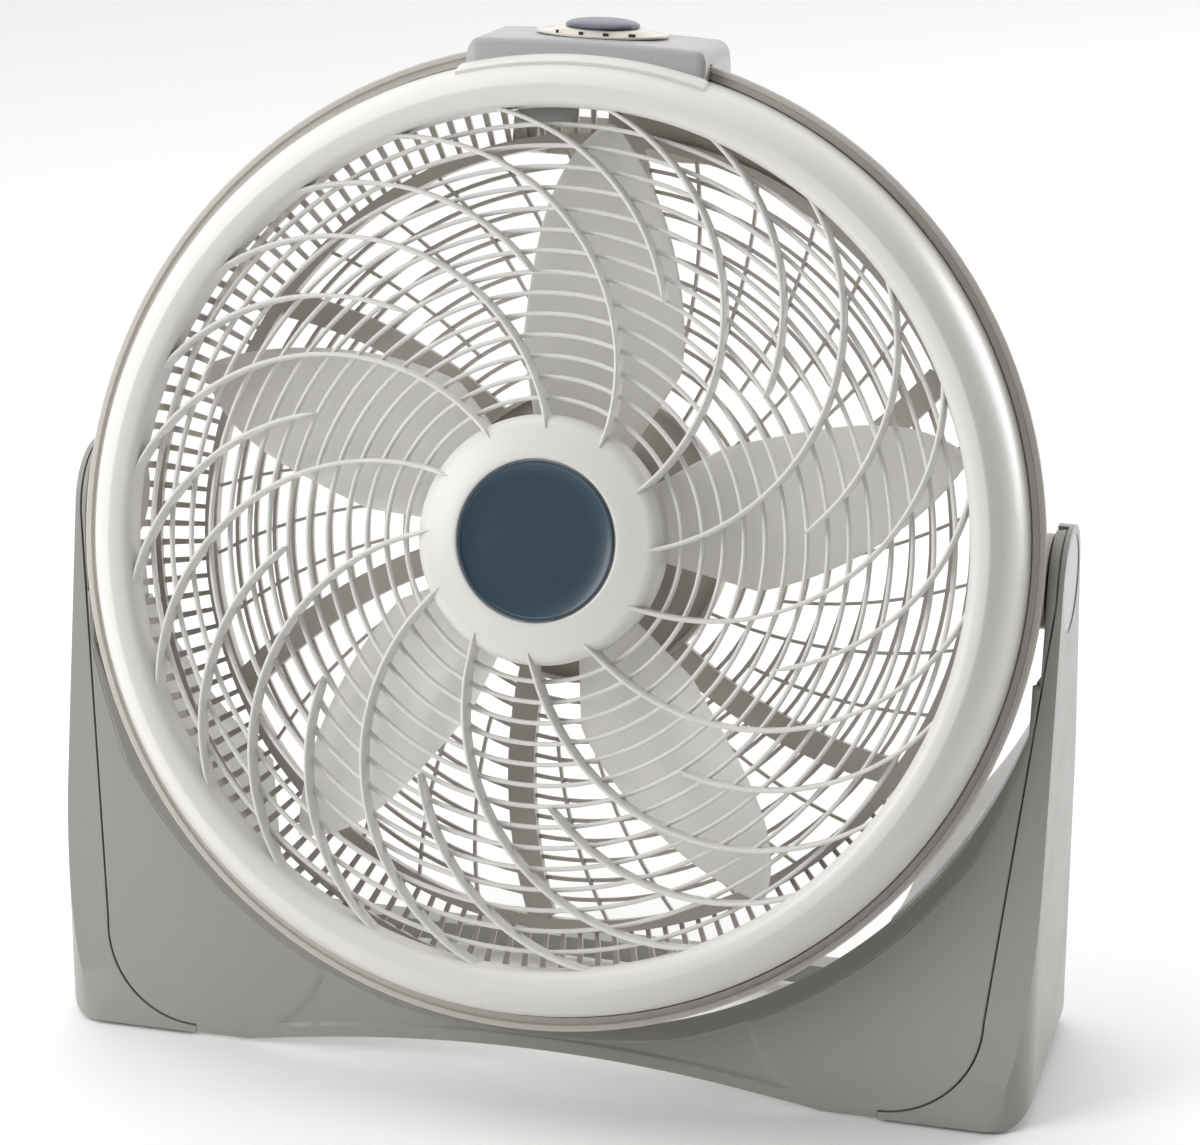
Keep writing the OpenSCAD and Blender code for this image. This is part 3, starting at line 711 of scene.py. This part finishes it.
FORK_C_Z = 311
FORK_R = 281.5
LEG_X = 198
LEG_Z = 62
LEG_R = 55
ARM_TOP_R = 32
ARM_OUTER_X = 276.5
ARM_INNER_X = 267
ARM_STEP_X = 271.3
ARM_STEP_Z = 250
ARCH_R = 930
ARCH_C_Z = -913
FRONT_Y = -86.5
FRONT_LOW_Z = 8
FRONT_TOP_Z = 299.4
FRONT_RUN = 55.1
APRON_LOW_Z = 2.0
SEAM_RUN = 23.5 / 231.5
FIELD_X = 178
FIELD_SUNK = 1.3
RIM_W = 8.5
RIM_DEPTH = 3.8
APRON_WALL = 2.4
APRON_TOP = math.radians(92.9)
APRON_STEPS = 460


def front_y(z):
    """Front surface of the stand's side outline at height z."""
    if z <= FRONT_LOW_Z:
        return FRONT_Y
    if z <= FRONT_TOP_Z:
        return FRONT_Y + (z - FRONT_LOW_Z) * FRONT_RUN / (FRONT_TOP_Z - FRONT_LOW_Z)
    return -math.sqrt(max(0.0, ARM_TOP_R**2 - (z - PIVOT_Z) ** 2))


def arch_z(x):
    """Height of the arched bottom edge."""
    return math.sqrt(ARCH_R**2 - x * x) + ARCH_C_Z


def in_apron(x, z):
    """True inside the centre moulding's outer edge, on the +X side."""
    if x <= LEG_X:
        return z >= max(APRON_LOW_Z, arch_z(x))
    if z < LEG_Z:
        return (x - LEG_X) ** 2 + (z - LEG_Z) ** 2 <= LEG_R**2
    return x <= min(ARM_OUTER_X, LEG_X + LEG_R + (z - LEG_Z) * SEAM_RUN)


def fork_reach(angle):
    """Distance from the cut-out's centre to its edge; angle 0 points down."""
    s, c = math.sin(angle), math.cos(angle)
    reach = FORK_R
    if s * FORK_R > ARM_INNER_X:
        reach = ARM_INNER_X / s
        if FORK_C_Z - c * reach > ARM_STEP_Z:
            reach = ARM_STEP_X / s
    return reach


def apron_reach(angle, start):
    """Distance from the cut-out's centre to the moulding's outer edge."""
    s, c = math.sin(angle), math.cos(angle)
    step = 2.0
    reach = start + 0.1
    while step > 0.02:
        if in_apron(s * (reach + step), FORK_C_Z - c * (reach + step)):
            reach += step
        else:
            step /= 2
    return reach


def rim_width(length):
    """Width of the chamfer round the cut-out, narrower where the moulding is narrow."""
    return min(RIM_W, 0.3 * length)


def field_depth(x, z, past_rim):
    """Depth of the sunken field between the legs, with soft edges."""
    beside_leg = math.hypot(x - FIELD_X, z - LEG_Z) - LEG_R
    field = smooth_step(beside_leg, 0.0, 3.5) * smooth_step(z - arch_z(x), 7.0, 8.5)
    return FIELD_SUNK * field * smooth_step(past_rim, 0.0, 2.0)


def apron_depth(x, z, from_fork, length):
    """How far the moulded face lies behind the plain side outline."""
    rim = rim_width(length)
    from_seam = length - from_fork
    depth = 0.0
    if from_fork < rim:
        depth += RIM_DEPTH * (rim / RIM_W) * (1 - from_fork / rim)
    elif from_fork < rim + 1.0:
        depth += 0.35
    if from_seam < 1.2:
        depth += 0.9 * (1 - from_seam / 1.2) ** 2
    if x < FIELD_X and length > 12:
        depth += field_depth(x, z, from_fork - rim)
    return depth


def apron_samples(length):
    """Distances from the cut-out to the seam, closer together at the rim and the seam."""
    near = [0, 0.02, 0.05, 0.2, 0.45, 0.8, 0.98, 1.0, 1.06, 1.12, 1.25]
    samples = [rim_width(length) * n for n in near]
    edge = min(1.3, 0.15 * length)
    inner_end, outer_start = samples[-1], length - edge
    samples += [inner_end + (outer_start - inner_end) * i / 26 for i in range(1, 27)]
    samples += [length - edge * f for f in (0.75, 0.5, 0.3, 0.15, 0.05, 0)]
    return samples


def apron_loop(side, angle):
    """Front and back points of the moulding along one line out from the cut-out's centre."""
    start = fork_reach(angle)
    length = apron_reach(angle, start) - start
    front, back = [], []
    for t in apron_samples(length):
        x = math.sin(angle) * (start + t)
        z = FORK_C_Z - math.cos(angle) * (start + t)
        z = min(z, PIVOT_Z + ARM_TOP_R - 0.1)
        depth = apron_depth(x, z, t, length)
        y = front_y(z) + depth
        wall = APRON_WALL - 0.35 * depth
        front.append((side * x, min(y, -0.1), z))
        back.append((side * x, min(y + wall, 0.0), z))
    return front + back[::-1]


def make_apron():
    rings = []
    for i in range(APRON_STEPS + 1):
        angle = APRON_TOP * (2 * i / APRON_STEPS - 1)
        side = -1 if angle < 0 else 1
        rings.append(apron_loop(side, abs(angle)))
    body = sweep(rings)
    apron = add_mesh("stand_front_moulding", *body, "stand_plastic", "stand", place=Matrix(), angle=24)
    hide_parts("stand_apron")


# ---------- camera, light and floor ----------


def set_camera():
    data = bpy.data.cameras.new("camera")
    data.sensor_width = 36
    data.lens = 124.23
    data.shift_x = 0.0254
    data.shift_y = -0.0254
    data.clip_end = 100
    camera = bpy.data.objects.new("camera", data)
    camera.location = (0.55475, -2.0788, 1.10293)
    camera.rotation_euler = (math.radians(90 - 20.698), 0, math.radians(14.942))
    bpy.context.scene.collection.objects.link(camera)
    bpy.context.scene.camera = camera


def area_light(name, place, target, size, power):
    data = bpy.data.lights.new(name, "AREA")
    data.shape = "RECTANGLE"
    data.size, data.size_y = size
    data.energy = power
    light = bpy.data.objects.new(name, data)
    light.location = place
    light.rotation_euler = (Vector(target) - Vector(place)).to_track_quat("-Z", "Y").to_euler()
    bpy.context.scene.collection.objects.link(light)


def set_world():
    """Soft surround, bright on the rear left and dim towards the front right."""
    world = bpy.data.worlds.new("studio")
    bpy.context.scene.world = world
    world.use_nodes = True
    tree = world.node_tree
    background = tree.nodes["Background"]
    coords = tree.nodes.new("ShaderNodeTexCoord")
    side = tree.nodes.new("ShaderNodeVectorMath")
    side.operation = "DOT_PRODUCT"
    side.inputs[1].default_value = (-0.62, 0.74, 0.26)
    tree.links.new(coords.outputs["Generated"], side.inputs[0])
    strength = ramp(tree, side.outputs["Value"], 0.06, 1.22, -0.42, 0.62)
    tree.links.new(strength, background.inputs["Strength"])
    background.inputs["Color"].default_value = (1.0, 1.0, 1.0, 1)


def set_light():
    bpy.context.scene.view_settings.view_transform = "Standard"
    set_world()
    area_light("overhead", (-0.3, 0.1, 2.8), (0, 0, 0.2), (3.0, 2.4), 24)
    area_light("right rear", (2.2, 2.0, 0.9), (0, 0, 0.3), (1.2, 1.8), 45)
    area_light("front left", (-1.5, -1.5, 1.2), (0, 0, 0.3), (1.0, 1.2), 23)


def add_floor():
    size = 30
    corners = [(-size, -size, 0), (size, -size, 0), (size, size, 0), (-size, size, 0)]
    mesh = bpy.data.meshes.new("floor")
    mesh.from_pydata(corners, [], [(0, 1, 2, 3)])
    floor = bpy.data.objects.new("floor", mesh)
    material, tree, shader = new_material("floor")
    shader.inputs["Base Color"].default_value = (0.96, 0.96, 0.96, 1)
    shader.inputs["Roughness"].default_value = 0.9
    mesh.materials.append(material)
    bpy.context.scene.collection.objects.link(floor)


set_camera()
set_light()
add_floor()
dress_cad()
make_front_grille()
make_propeller()
make_control_box()
make_dial_plate()
make_knob()
make_apron()
